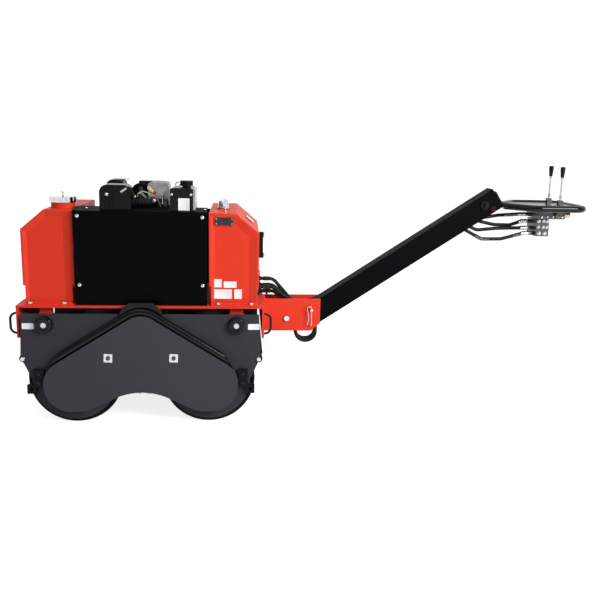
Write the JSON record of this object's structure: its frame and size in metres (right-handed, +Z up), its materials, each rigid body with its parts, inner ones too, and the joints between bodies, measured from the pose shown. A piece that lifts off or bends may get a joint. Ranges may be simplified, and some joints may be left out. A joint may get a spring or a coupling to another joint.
{
  "type": "walk-behind double-drum vibratory roller",
  "caption": "Walk-behind double-drum vibratory roller with a red tank frame, heart-shaped drive cases, diesel engine and a lifting steering handle.",
  "frame": {"origin": "on the ground under the middle of the whole machine, handle in its working position", "axes": "+X towards the steering handle, +Y to the belt side (away from the camera), +Z up"},
  "size_m": [2.6746, 0.728, 1.188],
  "materials": {
    "red_paint": "gloss",
    "charcoal_paint": "satin",
    "grey_paint": "satin",
    "black_paint": "gloss",
    "drum_steel": "satin",
    "zinc": "zinc plated",
    "steel": "turned",
    "dark_steel": "heat stained",
    "cast_iron": "as cast",
    "cast_aluminium": "as cast",
    "chrome": "polished",
    "rubber": "matte",
    "hose_rubber": "matte",
    "black_plastic": "textured",
    "red_plastic": "gloss",
    "nylon": "satin"
  },
  "bodies": {
    "root": {"base_frame": "red_paint", "side_plates": "charcoal_paint", "cross_tubes": "black_paint", "frame_bolts": "zinc", "rubber_buffers": "rubber", "chain_case": "grey_paint", "belt_case": "grey_paint", "case_plugs": "zinc", "guard_bars": "black_paint", "tie_down_loops": "black_paint", "scrapers": "black_paint", "tensioners": "nylon", "water_tank": "red_paint", "oil_tank": "red_paint", "level_gauge": "black_plastic", "engine_hood": "black_paint", "crankcase": "cast_iron", "finned_cylinder": "cast_aluminium", "rocker_cover": "cast_aluminium", "air_shroud": "black_paint", "recoil_housing": "black_paint", "muffler": "dark_steel", "air_cleaner": "black_plastic", "fuel_tank": "black_plastic", "engine_pipes": "steel", "hydraulic_pump": "cast_iron", "drive_motors": "cast_iron", "drum_bearings": "steel", "drive_chain": "steel", "vibration_belt": "rubber", "hitch_box": "red_paint", "pivot_bolt": "zinc", "hose_fittings": "zinc", "hitch_hoses": "hose_rubber"},
    "rear_drum": {"rear_drum": "drum_steel", "rear_hubs": "steel"},
    "front_drum": {"front_drum": "drum_steel", "front_hubs": "steel"},
    "drive_sprocket": {"drive_sprocket": "steel"},
    "rear_exciter": {"rear_exciter": "steel"},
    "front_exciter": {"front_exciter": "steel"},
    "motor_pulley": {"motor_pulley": "steel"},
    "crankshaft": {"flywheel": "cast_iron"},
    "handle": {"handle_beam": "black_paint", "head_frame": "black_paint", "valve_block": "cast_aluminium", "head_hoses": "hose_rubber"},
    "lock_pin": {"lock_pin": "zinc"},
    "travel_lever": {"travel_lever": "zinc", "travel_knob": "black_plastic"},
    "vibration_lever": {"vibration_lever": "zinc", "vibration_knob": "black_plastic"},
    "stop_button": {"stop_button": "red_plastic"},
    "key_switch": {"key_switch": "black_plastic"},
    "starter_grip": {"starter_grip": "black_plastic"},
    "throttle_lever": {"throttle_lever": "steel"},
    "decompression_lever": {"decompression_lever": "steel"},
    "water_cap": {"water_cap": "chrome"},
    "breather_cap": {"breather_cap": "chrome"},
    "fuel_cap": {"fuel_cap": "black_plastic"}
  },
  "joints": [
    {"name": "rear_drum_roll", "type": "hinge", "parent": "root", "child": "rear_drum", "pos_m": [-0.45029, 0, 0.21], "axis": [0, 1, 0], "continuous": true},
    {"name": "front_drum_roll", "type": "hinge", "parent": "root", "child": "front_drum", "pos_m": [-1.05029, 0, 0.21], "axis": [0, 1, 0], "continuous": true},
    {"name": "drive_sprocket_turn", "type": "hinge", "parent": "root", "child": "drive_sprocket", "pos_m": [-0.75029, 0, 0.397], "axis": [0, 1, 0], "continuous": true},
    {"name": "rear_exciter_turn", "type": "hinge", "parent": "root", "child": "rear_exciter", "pos_m": [-0.45029, 0, 0.21], "axis": [0, 1, 0], "continuous": true},
    {"name": "front_exciter_turn", "type": "hinge", "parent": "root", "child": "front_exciter", "pos_m": [-1.05029, 0, 0.21], "axis": [0, 1, 0], "continuous": true},
    {"name": "motor_pulley_turn", "type": "hinge", "parent": "root", "child": "motor_pulley", "pos_m": [-0.75029, 0, 0.397], "axis": [0, 1, 0], "continuous": true},
    {"name": "crank_turn", "type": "hinge", "parent": "root", "child": "crankshaft", "pos_m": [-0.75029, 0, 0.68], "axis": [0, 1, 0], "continuous": true},
    {"name": "handle_lift", "type": "hinge", "parent": "root", "child": "handle", "pos_m": [-0.08329, 0, 0.434], "axis": [0, -1, 0], "range_deg": [0, 55], "deforming": ["hitch_hoses"]},
    {"name": "lock_pin_pull", "type": "slide", "parent": "root", "child": "lock_pin", "axis": [0, -1, 0], "range_m": [0, 0.17]},
    {"name": "travel_lever_swing", "type": "hinge", "parent": "handle", "child": "travel_lever", "pos_m": [1.23429, -0.07, 1.018], "axis": [0, 1, 0], "range_deg": [-18, 18]},
    {"name": "vibration_lever_swing", "type": "hinge", "parent": "handle", "child": "vibration_lever", "pos_m": [1.23429, 0.07, 1.018], "axis": [0, 1, 0], "range_deg": [-18, 18]},
    {"name": "stop_button_press", "type": "slide", "parent": "handle", "child": "stop_button", "axis": [0, 1, 0], "range_m": [0, 0.004], "stiffness_N_per_m": 400},
    {"name": "key_turn", "type": "hinge", "parent": "handle", "child": "key_switch", "pos_m": [0.87153, -0.052, 0.99557], "axis": [0, -1, 0], "range_deg": [0, 90]},
    {"name": "starter_grip_pull", "type": "slide", "parent": "root", "child": "starter_grip", "axis": [0, 1, 0], "range_m": [0, 0.4]},
    {"name": "throttle_swing", "type": "hinge", "parent": "root", "child": "throttle_lever", "pos_m": [-0.76029, -0.156, 1.04], "axis": [0, 1, 0], "range_deg": [0, 25]},
    {"name": "decompression_swing", "type": "hinge", "parent": "root", "child": "decompression_lever", "pos_m": [-0.72429, -0.157, 1.062], "axis": [0, -1, 0], "range_deg": [0, 60]},
    {"name": "water_cap_twist", "type": "hinge", "parent": "root", "child": "water_cap", "pos_m": [-1.10429, -0.175, 0.994], "axis": [0, 0, 1], "range_deg": [0, 90]},
    {"name": "breather_cap_twist", "type": "hinge", "parent": "root", "child": "breather_cap", "pos_m": [-0.38929, -0.07, 0.966], "axis": [0, 0, 1], "range_deg": [0, 90]},
    {"name": "fuel_cap_twist", "type": "hinge", "parent": "root", "child": "fuel_cap", "pos_m": [-0.55429, -0.167, 1.076], "axis": [0, 0, 1], "range_deg": [0, 90]}
  ],
  "couplings": [
    {"joint": "front_drum_roll", "follows": "rear_drum_roll", "ratio": 1},
    {"joint": "drive_sprocket_turn", "follows": "rear_drum_roll", "ratio": 2.3},
    {"joint": "front_exciter_turn", "follows": "rear_exciter_turn", "ratio": 1},
    {"joint": "motor_pulley_turn", "follows": "rear_exciter_turn", "ratio": 2.3}
  ]
}
